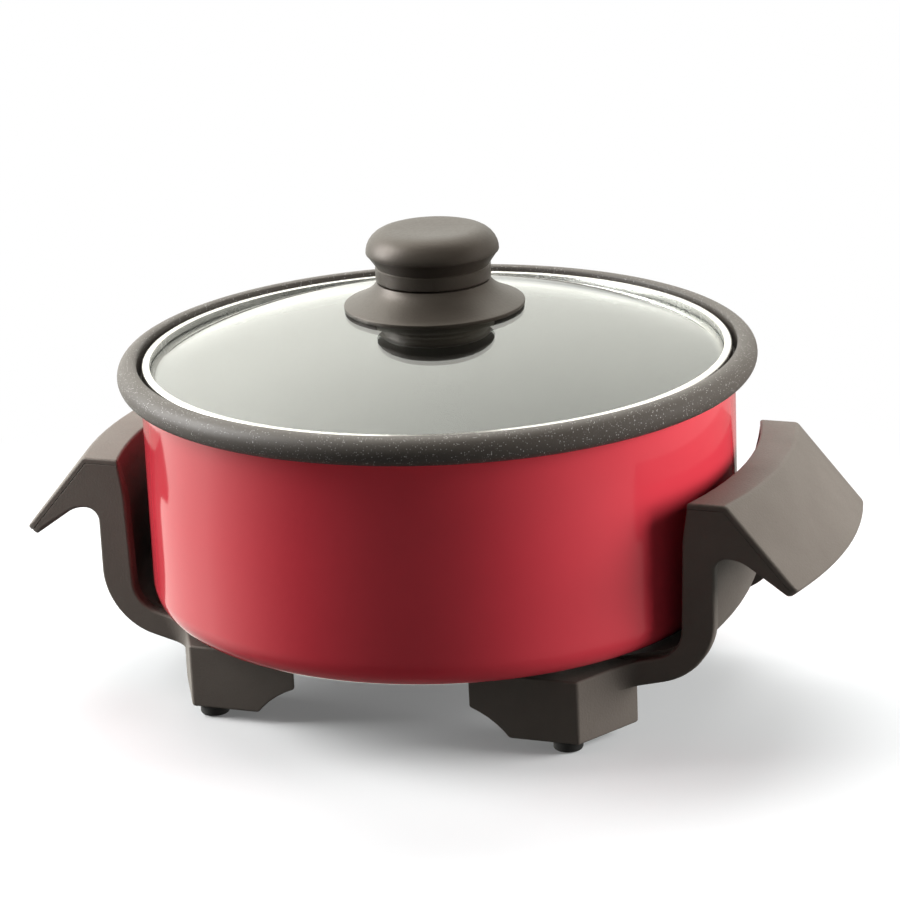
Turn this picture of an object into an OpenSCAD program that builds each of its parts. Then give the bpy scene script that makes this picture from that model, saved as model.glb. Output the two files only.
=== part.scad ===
// Electric skillet with a lift-off glass lid.
// Origin at the bottom centre, +Z up, handles along +X and -X, front towards -Y, millimetres.

/* [Pan] */
// Outer radius of the straight wall
pan_r = 111.6; // [108:0.5:116]
// Wall thickness of the pan
pan_wall = 3.1; // [2.6:0.1:3.6]
// Floor thickness of the pan
pan_floor_t = 6; // [5:0.5:8]
// Height from the underside of the pan to the top of its rim
pan_h = 96.8; // [90:0.5:110]
// Outer radius of the bottom corner
pan_corner_r = 12; // [8:0.5:15]
// Half thickness of the rolled rim
rim_bead_r = 5.3; // [4.9:0.1:6]
// How far the rim stands out from the wall
rim_over = 8.4; // [7.6:0.1:9.6]
// Depth of the lid seat below the top of the rim
seat_depth = 9; // [8.6:0.1:9.4]

/* [Lid] */
// Radius of the glass sphere
dome_r = 284; // [262:2:320]
// Thickness of the glass
glass_t = 3; // [2.6:0.1:3.4]
// Radial gap between the lid band and the rim
lid_gap = 2.1; // [1.4:0.1:2.6]
// Wall thickness of the lid band
band_t = 1.4; // [1:0.1:1.6]
// Width of the lips that hold the glass
band_lip = 1.4; // [1:0.1:1.8]
// Thickness of the lower lip of the band
band_foot = 0.7; // [0.5:0.1:1]
// Thickness of the upper lip of the band
band_top = 0.75; // [0.5:0.05:1]
// Distance of the steam vent from the edge of the glass
vent_edge = 33.6; // [26:0.5:45]
// Direction of the steam vent
vent_dir = 96; // [60:1:120]
// Radius of the vent hole
vent_r = 2; // [1.5:0.1:2.6]

/* [Knob] */
// Radius of the knob skirt
skirt_r = 33.9; // [30:0.5:38]
// Height of the skirt
skirt_h = 9; // [8:0.1:11]
// Radius of the collar
collar_r = 21.6; // [20:0.2:23]
// Height of the collar
collar_h = 5; // [4:0.1:6.5]
// Largest radius of the cap
cap_r = 24.9; // [24:0.1:28]
// Height of the cone under the cap
cap_cone_h = 6; // [4:0.1:8]
// Height of the rounded part of the cap
cap_round_h = 8.5; // [7.5:0.1:10.5]
// Radius of the flat top of the cap
cap_flat_r = 16; // [14:0.5:17.5]
// Thickness of the rubber under the skirt
seal_t = 0.7; // [0.5:0.1:1.2]
// Radius of the disc under the glass
base_r = 22; // [18:0.5:25]
// Height of the disc under the glass
base_h = 10; // [8.5:0.1:12]
// Radius of the knob screw
screw_r = 2.4; // [2:0.1:2.6]

/* [Handles] */
// Half width of a handle
grip_half = 51; // [48:0.5:54]
// Thickness of the end plates
plate_t = 5; // [4:0.1:6]
// Centre of the grip arcs in front of the middle of the pan
arc_shift = 45; // [40:1:52]
// Gap between the pan radius and the inner edge of the grip top, at the end plates
grip_inset = 0.6; // [0:0.1:2]
// Width of the flat top of the grip
grip_top_w = 14; // [13:0.2:17]
// Height of the grip top above the underside of the pan
grip_rise = 58.8; // [54:0.2:64]
// Reach of the sloping beak
beak_reach = 24.8; // [22:0.2:28]
// Drop of the sloping beak
beak_drop = 30; // [29:0.1:31]
// Thickness of the grip cover
cover_t = 2; // [1.6:0.1:2.6]
// Thickness of the web and the grip floor
web_t = 2.5; // [2:0.1:3]
// Height of the finger gap ceiling below the grip top
ceiling_drop = 19.2; // [18:0.1:20]
// Width of a leg
leg_w = 12; // [10:0.2:14]
// Outer radius of the leg bend
bend_r = 26; // [24:0.2:27]
// How far the web lies behind the outer edge of the legs
web_inset = 3.6; // [3:0.1:5]
// Radius of the curve that blends a strap into its foot block
blend_r = 20; // [12:1:24]

/* [Feet] */
// Height of the rubber pads
pad_h = 4; // [3:0.1:6]
// Radius of the rubber pads
pad_r = 5.5; // [5:0.1:6]
// Height of the foot blocks
block_h = 24.4; // [23:0.2:28]
// Height of the spacers between the blocks and the pan
boss_h = 4.1; // [3.6:0.1:6]
// Length of a foot block along its front face
block_l = 42; // [38:0.5:44]
// Distance of a block's outer front corner inside the pan's radius
block_side = 35.6; // [34:0.1:40]
// Distance of a block's front face inside the pan's radius
block_back = 38.1; // [36:0.1:40]
// Depth of a foot block from front to rear
block_deep = 27; // [25:0.5:28]
// How far the two ends of a block slant outwards to the rear
block_slant = 14.4; // [13:0.2:17]
// Wall thickness of the foot blocks
block_wall = 3; // [2.5:0.1:3.5]
// Radius of the scoop under the inner end of a block
relief_r = 30; // [27:0.5:32]

/* [Heater] */
// Radius of the heating ring
ring_r = 45; // [43:0.5:46]
// Radius of the heater tube
tube_r = 3.5; // [3:0.1:3.6]
// Half the spacing of the terminal pins
pin_x = 18; // [17:0.1:20]
// Radius of the terminal pins
pin_r = 2; // [1.6:0.1:2.2]
// Inner radius of the probe tube
probe_r = 3.2; // [2.6:0.1:3.4]
// Half width of the plug guard
guard_half = 32; // [30:0.5:33]
// Length of the plug guard
guard_l = 38; // [34:0.5:40]
// Height of the plug guard
guard_h = 20; // [17:0.5:22]

/* [Hidden] */
$fn = 96;
// Clearances
thread_gap = 0.1;
slide_gap = 0.2;
glass_gap = 0.05;

// Heights from the table up
block_top = pad_h + block_h;
pan_z = block_top + boss_h;
rim_top = pan_z + pan_h;
rim_r = pan_r + rim_over;
seat_z = rim_top - seat_depth;
inner_r = pan_r - pan_wall;
rim_in = pan_r + 1;
bead_z = rim_top - rim_bead_r;

// Lid
band_r = rim_in - lid_gap;
glass_r = band_r - band_t - glass_gap;
vent_dist = glass_r - vent_edge;
glass_low = seat_z + band_foot;
dome_in = dome_r - glass_t;
dome_z = glass_low - sqrt(dome_in * dome_in - glass_r * glass_r);
lip_r = glass_r - band_lip;
band_high = outside(lip_r) + glass_gap + band_top;
hole_r = screw_r + 1.6;

// Knob
seal_r = skirt_r - 1;
seal_in = seal_r - 7;
skirt_z = outside(seal_in) + seal_t;
collar_z = skirt_z + skirt_h;
cone_z = collar_z + collar_h;
cap_z = cone_z + cap_cone_h;
top_z = cap_z + cap_round_h;
insert_r = screw_r + 2;
base_seal_t = 0.8;
base_top = inside(base_r) - base_seal_t;
base_z = base_top - base_h;
screw_seat = base_z + 3.5;
washer_t = 1;
washer_r = 6;
knob_head_r = screw_r + 1.6;
knob_head_h = 2.2;
knob_head_z = screw_seat - washer_t;
screw_end = cap_z - 0.5;

// Grip, as radii about the arc centre, read at the outer end planes
grip_z = pan_z + grip_rise;
grip_x = pan_r - grip_inset;
grip_in = sqrt(pow(grip_x + arc_shift, 2) + grip_half * grip_half);
grip_crest = grip_in + grip_top_w;
tip_r = grip_crest + beak_reach;
tip_z = grip_z - beak_drop;
slope_l = sqrt(beak_reach * beak_reach + beak_drop * beak_drop);
// Unit direction down the slope, and its outward normal
dir_x = beak_reach / slope_l;
dir_z = -beak_drop / slope_l;
under_z = grip_z - cover_t;
ceiling_z = grip_z - ceiling_drop;
floor_z = ceiling_z + web_t;
// Inner line of the cover at its top and at the tip
in_top_x = grip_crest + cover_t * (1 - dir_x) / dir_z;
in_tip_x = tip_r + cover_t * dir_z;
in_tip_z = tip_z - cover_t * dir_x;
toe_x = in_tip_x - 2.2;
toe_z = in_tip_z - 0.6;
tip_cut = 3;
tip_x = sqrt(tip_r * tip_r - grip_half * grip_half) - arc_shift;
ceiling_out = grip_crest + 4;
web_r = grip_in + web_t;
floor_in = grip_in - 8;
plate_in = grip_half - plate_t;
boss_r = 4;
grip_screw_r = 1.5;
grip_screw_rho = grip_in + 8;
grip_screw_y = 28;
grip_seat = floor_z + 1.2;

// Places of the foot blocks
block_out = pan_r - block_side;
block_in = block_out - block_l;
block_front = pan_r - block_back;
block_rear = block_front - block_deep;

// Leg outline at the end plates
leg_x = grip_x + 10;
leg_in_x = leg_x - leg_w;
web_x = leg_x - web_inset - web_t;
leg_top_x = sqrt(grip_in * grip_in - plate_in * plate_in) - arc_shift;
arch_r = 5;
bend_x = leg_x - bend_r;
bend_z = pad_h + 43.3;
bend_end = -76;
in_bend_r = 12;
in_bend_x = leg_in_x - in_bend_r;
in_bend_z = block_top + 14.6;
strap_end = block_out + block_slant - 5;
strap_z = strap_line(bend_r);

// Feet
pad_x = block_out - 6.2;
pad_y = block_front - 6.5;
stem_r = 2.5;
stem_h = 5;
fix_x = block_out - 15;
relief_x = 11.3;
relief_z = 17.1;
fix_y = block_front - 15.5;
spacer_r = 8;
fix_r = 2.4;
fix_top = pan_z + 2;
block_lid = 4;
block_turn = atan(block_slant / (block_front - block_rear));
head_r = 4.5;
head_h = 2.5;

// Heater
groove_r = tube_r + slide_gap;
base_skin = 0.8;
groove_top = pan_z - base_skin;
tube_z = groove_top - groove_r;
rib_z = tube_z - groove_r;
rib_in = ring_r - 8;
rib_out = ring_r + 8;
end_angle = asin(pin_x / ring_r);
leg_y = ring_r * cos(end_angle);
guard_inset = 41.6;
guard_in = pan_r - guard_inset;
leg_end = guard_in + 6;
clamp_t = 1.2;
clamp_in = rib_in - 1;
clamp_out = rib_out + 1;
clamp_screw_r = 1.5;
clamp_x = rib_in - 4;
clamp_boss_r = 4.5;
probe_boss = 7;
bead_r = tube_r + 0.2;
bead_len = 5;
pin_end = leg_end + 26;
pin_start = leg_end - 7;
probe_drop = 6;
probe_z = pan_z - probe_drop;
probe_wall = 1;
probe_in = 28;
probe_end = 3;
probe_out = leg_end + 12;
guard_out = guard_in + guard_l;
guard_t = 2.5;
guard_top = pan_z - 0.3;
guard_z = pan_z - guard_h;
ear_half = 6;
ear_back = 10;
ear_side = 5;
ear_x = guard_half + ear_side;
ear_y = guard_in + ear_back;
ear_mid = ear_x - 1;
ear_t = 2.5;
ear_screw_r = 1.5;
screw_head_h = 2;
screw_grip = 3.5;

// Height of the outside and of the inside of the glass at a radius
function outside(r) = dome_z + sqrt(dome_r * dome_r - r * r);
function inside(r) = dome_z + sqrt(dome_in * dome_in - r * r);

// Height at the strap's end of a line that leaves the leg's bend at a radius
function strap_line(r) = bend_z + r * sin(bend_end) - (bend_x + r * cos(bend_end) - strap_end) / tan(-bend_end);

// Points along an arc
function arc(cx, cy, r, a, b, n) = [for (i = [0:n]) [cx + r * cos(a + (b - a) * i / n), cy + r * sin(a + (b - a) * i / n)]];

// Points along the glass between two radii
function dome_arc(rad, r0, r1, n) = [for (i = [0:n]) let (r = r0 + (r1 - r0) * i / n) [r, dome_z + sqrt(rad * rad - r * r)]];

module turn(pts) {
  rotate_extrude()
    polygon(pts);
}

module ring(r0, r1, z0, z1) {
  turn([[r0, z0], [r1, z0], [r1, z1], [r0, z1]]);
}

module rod(r, z0, z1) {
  translate([0, 0, z0])
    cylinder(r = r, h = z1 - z0);
}

// A rod along +Y
module rod_y(r, y0, y1) {
  translate([0, y0, 0])
    rotate([-90, 0, 0])
      cylinder(r = r, h = y1 - y0);
}

module box(lo, hi) {
  translate(lo)
    cube(hi - lo);
}

module four_feet() {
  for (sx = [0, 1])
    for (sy = [0, 1])
      mirror([sx, 0, 0])
        mirror([0, sy, 0])
          children();
}

module both_ends() {
  for (sy = [0, 1])
    mirror([0, sy, 0])
      children();
}

module right_side() {
  children();
}

module left_side() {
  mirror([1, 0, 0])
    children();
}

// Pan
module pan_turned() {
  corner = arc(pan_r - pan_corner_r, pan_z + pan_corner_r, pan_corner_r, -90, 0, 8);
  bead_under = asin((rim_r - rim_bead_r - pan_r) / rim_bead_r);
  bead = arc(rim_r - rim_bead_r, bead_z, rim_bead_r, -90 - bead_under, 100, 18);
  in_corner_r = pan_corner_r - pan_wall;
  in_corner = arc(inner_r - in_corner_r, pan_z + pan_floor_t + in_corner_r, in_corner_r, 0, -90, 8);
  turn(concat(
    [[0, pan_z]],
    corner,
    bead,
    [[rim_in, rim_top - 1.2], [rim_in, seat_z], [inner_r, seat_z]],
    in_corner,
    [[0, pan_z + pan_floor_t]]
  ));
}

module foot_hole() {
  translate([fix_x, fix_y, 0])
    rod(fix_r + thread_gap, pan_z - 1, fix_top + 0.5);
}

module clamp_places() {
  for (a = [-90, 0, 180])
    rotate([0, 0, a])
      translate([clamp_x, 0, 0])
        children();
}

module pan() {
  color("firebrick")
  difference() {
    pan_turned();
    four_feet()
      foot_hole();
    clamp_places()
      rod(clamp_screw_r + thread_gap, pan_z - 1, pan_z + screw_grip + 0.5);
    for (s = [-1, 1])
      translate([s * ear_x, ear_y, 0])
        rod(ear_screw_r + thread_gap, pan_z - 1, pan_z + screw_grip + 0.5);
  }
}

// Cast base under the pan, with a groove for the heater and a boss for the probe tube
module heater_base() {
  color("slategray")
  difference() {
    union() {
      ring(rib_in, rib_out, rib_z, pan_z);
      clamp_places()
        rod(clamp_boss_r, rib_z, pan_z);
      box([-probe_boss, probe_in - probe_end, probe_z - probe_drop], [probe_boss, guard_in - 2 * slide_gap, pan_z]);
    }
    // Groove for the heater, with its two ways out
    rotate([0, 0, 90 + end_angle - 4])
      rotate_extrude(angle = 368 - 2 * end_angle)
        translate([ring_r - groove_r, rib_z - 1])
          square([2 * groove_r, groove_top - rib_z + 1]);
    for (s = [-1, 1])
      box([s * pin_x - groove_r - 0.4, leg_y - 1, rib_z - 1], [s * pin_x + groove_r + 0.4, rib_out + 1, groove_top]);
    translate([0, 0, probe_z])
      rod_y(probe_r + probe_wall + thread_gap, probe_in, guard_in);
    clamp_places()
      rod(clamp_screw_r + slide_gap, rib_z - 1, pan_z + 1);
  }
}

// Handles
// Plan of a grip, with the two corners of its tip cut off
module grip_plan() {
  linear_extrude(height = rim_top)
    polygon([
      [0, -grip_half], [tip_x - tip_cut, -grip_half], [tip_x + tip_cut, -grip_half + 2 * tip_cut],
      [2 * pan_r, 0],
      [tip_x + tip_cut, grip_half - 2 * tip_cut], [tip_x - tip_cut, grip_half], [0, grip_half]
    ]);
}

// Part of a turned outline that lies between two end planes
module grip_slab(y0, y1, pts, x0 = 0) {
  intersection() {
    translate([-arc_shift, 0, 0])
      turn(pts);
    box([x0, y0, 0], [2 * pan_r, y1, rim_top]);
    grip_plan();
  }
}

// Web between the end plates, which follows the legs and the straps
module web() {
  in_r = web_x - bend_x;
  out_r = in_r + web_t;
  translate([0, plate_in + 1, 0])
    rotate([90, 0, 0])
      linear_extrude(height = 2 * plate_in + 2)
        polygon(concat(
          [[bend_x + in_r, floor_z], [bend_x + out_r, floor_z]],
          arc(bend_x, bend_z, out_r, 0, bend_end, 8),
          [[strap_end, strap_line(out_r)], [strap_end, strap_line(in_r)]],
          arc(bend_x, bend_z, in_r, bend_end, 0, 8)
        ));
}

function beak_points() = [
  [grip_in, under_z], [grip_in, ceiling_z], [ceiling_out, ceiling_z], [toe_x, toe_z],
  [in_tip_x, in_tip_z], [in_top_x, under_z]
];

function floor_points() = [
  [floor_in, floor_z], [floor_in, ceiling_z], [ceiling_out, ceiling_z], [toe_x, toe_z],
  [in_tip_x, in_tip_z], [in_tip_x - web_t * dir_x, in_tip_z - web_t * dir_z], [ceiling_out + 1, floor_z]
];

function leg_points() = concat(
  [[leg_top_x, under_z], [leg_x, under_z], [leg_x + arch_r, ceiling_z + 1]],
  arc(leg_x + arch_r, ceiling_z - arch_r, arch_r, 90, 180, 6),
  arc(bend_x, bend_z, bend_r, 0, bend_end, 10),
  [[strap_end, strap_z], [strap_end, block_top]],
  arc(in_bend_x, in_bend_z, in_bend_r, -72, 0, 6),
  [[leg_in_x + 0.8, under_z - 12]]
);

module end_plate() {
  grip_slab(-grip_half, -plate_in, beak_points());
  translate([0, -plate_in, 0])
    rotate([90, 0, 0])
      linear_extrude(height = plate_t)
        polygon(leg_points());
}

// Plan of a foot block, with its four sides moved in
function block_plan(inset) =
  let (
    deep = block_front - block_rear,
    across = inset * sqrt(block_slant * block_slant + deep * deep) / deep,
    near = block_slant * inset / deep,
    far = block_slant * (deep - inset) / deep
  ) [
    [block_in + across + near, -block_front + inset],
    [block_out - across + near, -block_front + inset],
    [block_out - across + far, -block_rear - inset],
    [block_in + across + far, -block_rear - inset]
  ];

module block_prism(inset, z0, z1) {
  translate([0, 0, z0])
    linear_extrude(height = z1 - z0)
      polygon(block_plan(inset));
}

// Hollow curve in the corner between a strap and the outer face of its block
module strap_blend() {
  corner_x = block_out + block_slant * (block_front - grip_half) / block_deep;
  reach = blend_r / tan(45 + block_turn / 2);
  face = [corner_x - reach * sin(block_turn), -grip_half - reach * cos(block_turn)];
  translate([0, 0, strap_line(bend_r) + 3.5])
    linear_extrude(height = block_top - strap_line(bend_r) - 3.5)
      polygon(concat(
        arc(corner_x + reach, -grip_half - blend_r, blend_r, 180 - block_turn, 90, 8),
        [[corner_x + reach, -grip_half + 1], [corner_x - 1.2, -grip_half + 1], [face[0] - 1.2, face[1]]]
      ));
}

module block_hollow() {
  difference() {
    block_prism(block_wall, pad_h - 1, block_top - block_lid);
    // Ribs and bosses that stay
    box([fix_x - 1.2, -block_front, 0], [fix_x + 1.2, -block_rear, block_top]);
    translate([fix_x, -fix_y, 0])
      rod(head_r + 3, block_top - 14, block_top);
    translate([pad_x, -pad_y, 0])
      rod(6, 0, block_top);
    block_relief(block_wall);
  }
}

// Scoop under the inner end of a block, with the skin round it when it is grown
module block_relief(grow) {
  translate([block_in, -block_front, pad_h - relief_z])
    rotate([0, 0, -block_turn])
      translate([-relief_x, -block_front, 0])
        rotate([-90, 0, 0])
          cylinder(r = relief_r + grow, h = 2 * block_front);
}

module foot_block() {
  difference() {
    block_prism(0, pad_h, block_top);
    block_relief(0);
    block_hollow();
    translate([fix_x, -fix_y, 0]) {
      rod(fix_r + slide_gap, pad_h, block_top + 1);
      rod(head_r + slide_gap, pad_h - 1, block_top - block_lid);
    }
    translate([pad_x, -pad_y, 0])
      rod(stem_r + thread_gap, pad_h - 1, pad_h + stem_h + 0.5);
  }
}

module grip_screw_places() {
  both_ends()
    translate([sqrt(grip_screw_rho * grip_screw_rho - grip_screw_y * grip_screw_y) - arc_shift, grip_screw_y, 0])
      children();
}

module handle() {
  difference() {
    union() {
      both_ends() {
        end_plate();
        foot_block();
        strap_blend();
      }
      grip_slab(-plate_in - 1, plate_in + 1, [[grip_in, ceiling_z], [web_r, ceiling_z], [web_r, under_z], [grip_in, under_z]]);
      grip_slab(-plate_in - 1, plate_in + 1, floor_points(), web_x);
      web();
      grip_screw_places()
        rod(boss_r + 1.2, ceiling_z + 0.5, grip_seat + 3);
    }
    grip_screw_places() {
      rod(2 * grip_screw_r + slide_gap, ceiling_z - 1, grip_seat);
      rod(grip_screw_r + slide_gap, ceiling_z, grip_seat + 4);
    }
  }
}

module handle_right() {
  color("dimgray")
  right_side()
    handle();
}

module handle_left() {
  color("dimgray")
  left_side()
    handle();
}

module grip_cover() {
  difference() {
    union() {
      grip_slab(-grip_half, grip_half, [
        [grip_in, under_z], [grip_in, grip_z], [grip_crest, grip_z], [tip_r, tip_z],
        [in_tip_x, in_tip_z], [in_top_x, under_z]
      ]);
      grip_screw_places()
        rod(boss_r, grip_seat + 3, under_z + 0.5);
    }
    grip_screw_places()
      rod(grip_screw_r + thread_gap, grip_seat + 2, under_z - 2);
  }
}

module grip_cover_right() {
  color("gray")
  right_side()
    grip_cover();
}

module grip_cover_left() {
  color("gray")
  left_side()
    grip_cover();
}

module grip_screw() {
  grip_screw_places() {
    rod(2 * grip_screw_r, grip_seat - 2, grip_seat);
    rod(grip_screw_r, grip_seat - 1, under_z - 3);
  }
}

module grip_screws() {
  color("silver") {
    right_side()
      grip_screw();
    left_side()
      grip_screw();
  }
}

// Feet
module foot_pads() {
  color("black")
  four_feet()
    translate([pad_x, pad_y, 0]) {
      turn([[0, 0], [pad_r - 0.6, 0], [pad_r, 0.6], [pad_r, pad_h], [0, pad_h]]);
      rod(stem_r, pad_h - 1, pad_h + stem_h);
    }
}

// Heatproof spacers between the foot blocks and the pan
module foot_spacers() {
  color("white")
  four_feet()
    translate([fix_x, fix_y, 0])
      ring(fix_r + slide_gap, spacer_r, block_top, pan_z);
}

module block_screws() {
  color("silver")
  four_feet()
    translate([fix_x, fix_y, 0]) {
      rod(head_r, block_top - block_lid - head_h, block_top - block_lid);
      rod(fix_r, block_top - block_lid - 1, fix_top);
    }
}

// Heater
module heating_element() {
  color("darkgray")
  difference() {
    union() {
      rotate([0, 0, 90 + end_angle])
        rotate_extrude(angle = 360 - 2 * end_angle)
          translate([ring_r, tube_z])
            circle(r = tube_r);
      for (s = [-1, 1])
        translate([s * pin_x, 0, tube_z]) {
          translate([0, leg_y, 0])
            sphere(r = tube_r + 0.15);
          rod_y(tube_r, leg_y, leg_end);
        }
    }
    for (s = [-1, 1])
      translate([s * pin_x, 0, tube_z])
        rod_y(pin_r + thread_gap, pin_start - 0.5, leg_end + 1);
  }
}

module element_plate() {
  color("silver")
  difference() {
    union() {
      ring(clamp_in, clamp_out, rib_z - clamp_t, rib_z);
      clamp_places()
        rod(5.5, rib_z - clamp_t, rib_z);
    }
    box([-pin_x - tube_r - 4, 0, 0], [pin_x + tube_r + 4, pan_r, pan_z]);
    clamp_places()
      rod(clamp_screw_r + slide_gap, 0, pan_z);
  }
}

module plate_screws() {
  color("silver")
  clamp_places() {
    rod(2 * clamp_screw_r, rib_z - clamp_t - screw_head_h, rib_z - clamp_t);
    rod(clamp_screw_r, rib_z - clamp_t - screw_head_h / 2, pan_z + screw_grip);
  }
}

module terminal_insulators() {
  color("white")
  for (s = [-1, 1])
    translate([s * pin_x, 0, tube_z])
      difference() {
        rod_y(bead_r, leg_end, leg_end + bead_len);
        rod_y(pin_r + thread_gap, leg_end - 1, leg_end + bead_len + 1);
      }
}

module terminal_pins() {
  color("gold")
  for (s = [-1, 1])
    translate([s * pin_x, 0, tube_z])
      rod_y(pin_r, pin_start, pin_end);
}

module probe_well() {
  color("silver")
  translate([0, 0, probe_z])
    difference() {
      rod_y(probe_r + probe_wall, probe_in + 0.5, probe_out);
      rod_y(probe_r, probe_in + 2, probe_out + 1);
    }
}

module plug_guard() {
  color("dimgray")
  difference() {
    union() {
      box([-guard_half, guard_in, guard_z], [guard_half, guard_out, guard_top]);
      for (s = [-1, 1])
        box([s * ear_mid - ear_half, ear_y - ear_half, pan_z - ear_t], [s * ear_mid + ear_half, ear_y + ear_half, pan_z]);
    }
    box([-guard_half + guard_t, guard_in + guard_t, guard_z + guard_t], [guard_half - guard_t, guard_out + 1, pan_z + 1]);
    for (s = [-1, 1]) {
      translate([s * pin_x, 0, tube_z])
        rod_y(bead_r + slide_gap, guard_in - 1, guard_in + guard_t + 1);
      box([s * pin_x - bead_r - slide_gap, guard_in - 1, tube_z], [s * pin_x + bead_r + slide_gap, guard_in + guard_t + 1, pan_z]);
      translate([s * ear_x, ear_y, 0])
        rod(ear_screw_r + slide_gap, guard_z - 1, pan_z + 1);
    }
    translate([0, 0, probe_z])
      rod_y(probe_r + probe_wall + slide_gap, guard_in - 1, guard_in + guard_t + 1);
  }
}

module guard_screws() {
  color("silver")
  for (s = [-1, 1])
    translate([s * ear_x, ear_y, 0]) {
      rod(2 * ear_screw_r, pan_z - ear_t - screw_head_h, pan_z - ear_t);
      rod(ear_screw_r, pan_z - ear_t - screw_head_h / 2, pan_z + screw_grip);
    }
}

// Lid
module vent_place() {
  lean = asin(vent_dist / dome_r);
  translate([0, 0, dome_z])
    rotate([0, 0, vent_dir])
      rotate([0, lean, 0])
        children();
}

module lid_glass() {
  color("lightblue", 0.5)
  difference() {
    turn(concat(
      dome_arc(dome_in, hole_r, glass_r, 12),
      dome_arc(dome_r, glass_r, hole_r, 12)
    ));
    vent_place()
      rod(vent_r + 1.2, dome_in - 5, dome_r + 5);
  }
}

module lid_band() {
  color("silver")
  turn([
    [lip_r, seat_z], [band_r, seat_z], [band_r, band_high - 0.5], [band_r - 0.5, band_high],
    [lip_r, band_high], [lip_r, outside(lip_r) + glass_gap], [glass_r + glass_gap, outside(lip_r) + glass_gap],
    [glass_r + glass_gap, glass_low], [lip_r, glass_low]
  ]);
}

module vent_eyelet() {
  eye = vent_r + 1;
  color("silver")
  vent_place()
    difference() {
      union() {
        rod(eye, dome_in - 0.6, dome_r + 0.6);
        rod(eye + 2, dome_r + glass_gap, dome_r + 0.7);
        rod(eye + 1.2, dome_in - 0.8, dome_in - 0.1);
      }
      rod(vent_r, dome_in - 5, dome_r + 5);
    }
}

// Knob
module knob_grip() {
  round_w = cap_r - cap_flat_r;
  color("dimgray")
  difference() {
    turn(concat(
      [[0, collar_z], [collar_r, collar_z], [collar_r, cone_z]],
      [for (p = arc(0, 0, 1, 0, 90, 9)) [cap_flat_r + round_w * p[0], cap_z + cap_round_h * p[1]]],
      [[0, top_z - 0.6]]
    ));
    // Hollow round the boss for the insert
    ring(insert_r + 4, collar_r - 4, collar_z - 1, cap_z);
    rod(insert_r + thread_gap, collar_z - 1, cap_z + 2.5);
  }
}

module knob_skirt() {
  lip_z = skirt_z + 0.8;
  neck = [collar_r + 1.2, (collar_z + lip_z) / 2];
  flare = [for (i = [0:8]) let (t = i / 8)
    (1 - t) * (1 - t) * [collar_r, collar_z] + 2 * t * (1 - t) * neck + t * t * [skirt_r, lip_z]];
  color("dimgray")
  turn(concat(
    [[insert_r, collar_z - 3], [insert_r, collar_z]],
    flare,
    [[skirt_r, skirt_z], [seal_in, skirt_z]],
    [[seal_in - 1.5, skirt_z + 1.2], [collar_r - 2.5, collar_z - 3]]
  ));
}

module knob_seal() {
  color("black")
  turn([
    [seal_in, outside(seal_in) + glass_gap], [seal_r, outside(seal_r) + glass_gap],
    [seal_r, skirt_z], [seal_in, skirt_z]
  ]);
}

module knob_base() {
  color("black")
  difference() {
    turn(concat(
      [[screw_r + slide_gap, base_top], [base_r, base_top]],
      arc(base_r - 4, base_z + 4, 4, 0, -90, 6),
      [[screw_r + slide_gap, base_z]]
    ));
    rod(washer_r + 0.5, base_z - 1, screw_seat);
  }
}

module base_seal() {
  color("black")
  turn([
    [hole_r, base_top], [base_r, base_top],
    [base_r, inside(base_r) - glass_gap], [hole_r, inside(hole_r) - 2 * glass_gap]
  ]);
}

module knob_insert() {
  color("gold")
  difference() {
    rod(insert_r, collar_z, cap_z + 2);
    rod(screw_r + thread_gap, collar_z - 1, cap_z + 1);
  }
}

module knob_washer() {
  color("silver")
  ring(screw_r + slide_gap, washer_r, knob_head_z, screw_seat);
}

module knob_screw() {
  color("silver")
  turn([
    [0, knob_head_z - knob_head_h], [knob_head_r, knob_head_z - knob_head_h], [knob_head_r, knob_head_z],
    [screw_r, knob_head_z], [screw_r, screw_end], [0, screw_end]
  ]);
}

pan();
handle_right();
handle_left();
grip_cover_right();
grip_cover_left();
foot_pads();
foot_spacers();
grip_screws();
block_screws();
heater_base();
heating_element();
element_plate();
plate_screws();
terminal_insulators();
terminal_pins();
probe_well();
plug_guard();
guard_screws();
lid_glass();
lid_band();
vent_eyelet();
knob_grip();
knob_skirt();
knob_seal();
knob_base();
base_seal();
knob_insert();
knob_washer();
knob_screw();
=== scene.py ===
# %% [markdown]
# # A round electric skillet with a lift-off glass lid
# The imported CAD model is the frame: it fixes every place and size, and the pieces made here give it its looks.
# The frame is loaded first, because each new piece rides on one of its bodies.

# %% Load the frame
from math import asin, atan2, cos, pi, radians, sin, sqrt, tan

import bmesh
import bpy
from mathutils import Matrix, Vector


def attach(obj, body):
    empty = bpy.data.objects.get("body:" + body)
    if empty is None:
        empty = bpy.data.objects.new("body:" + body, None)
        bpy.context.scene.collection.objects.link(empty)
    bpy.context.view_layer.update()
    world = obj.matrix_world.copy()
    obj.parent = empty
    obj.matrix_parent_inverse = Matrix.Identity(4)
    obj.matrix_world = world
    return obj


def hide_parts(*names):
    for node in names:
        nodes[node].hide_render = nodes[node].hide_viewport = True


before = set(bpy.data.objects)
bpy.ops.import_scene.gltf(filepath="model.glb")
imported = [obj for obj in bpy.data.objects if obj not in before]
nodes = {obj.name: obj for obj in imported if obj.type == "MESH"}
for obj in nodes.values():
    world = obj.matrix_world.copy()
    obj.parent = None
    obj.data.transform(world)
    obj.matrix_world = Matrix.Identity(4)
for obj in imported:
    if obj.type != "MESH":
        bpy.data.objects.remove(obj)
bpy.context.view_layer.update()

# %% [markdown]
# ## Camera
# The camera is set before any piece, so that each one can be compared with the photograph as soon as it is made.
# Its place came from fitting the round rim, the lid and the foot blocks. A long lens from a little more than a metre
# keeps the rim's ellipse as flat as it looks there, and the small roll levels the object as the photographer left it.

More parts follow.
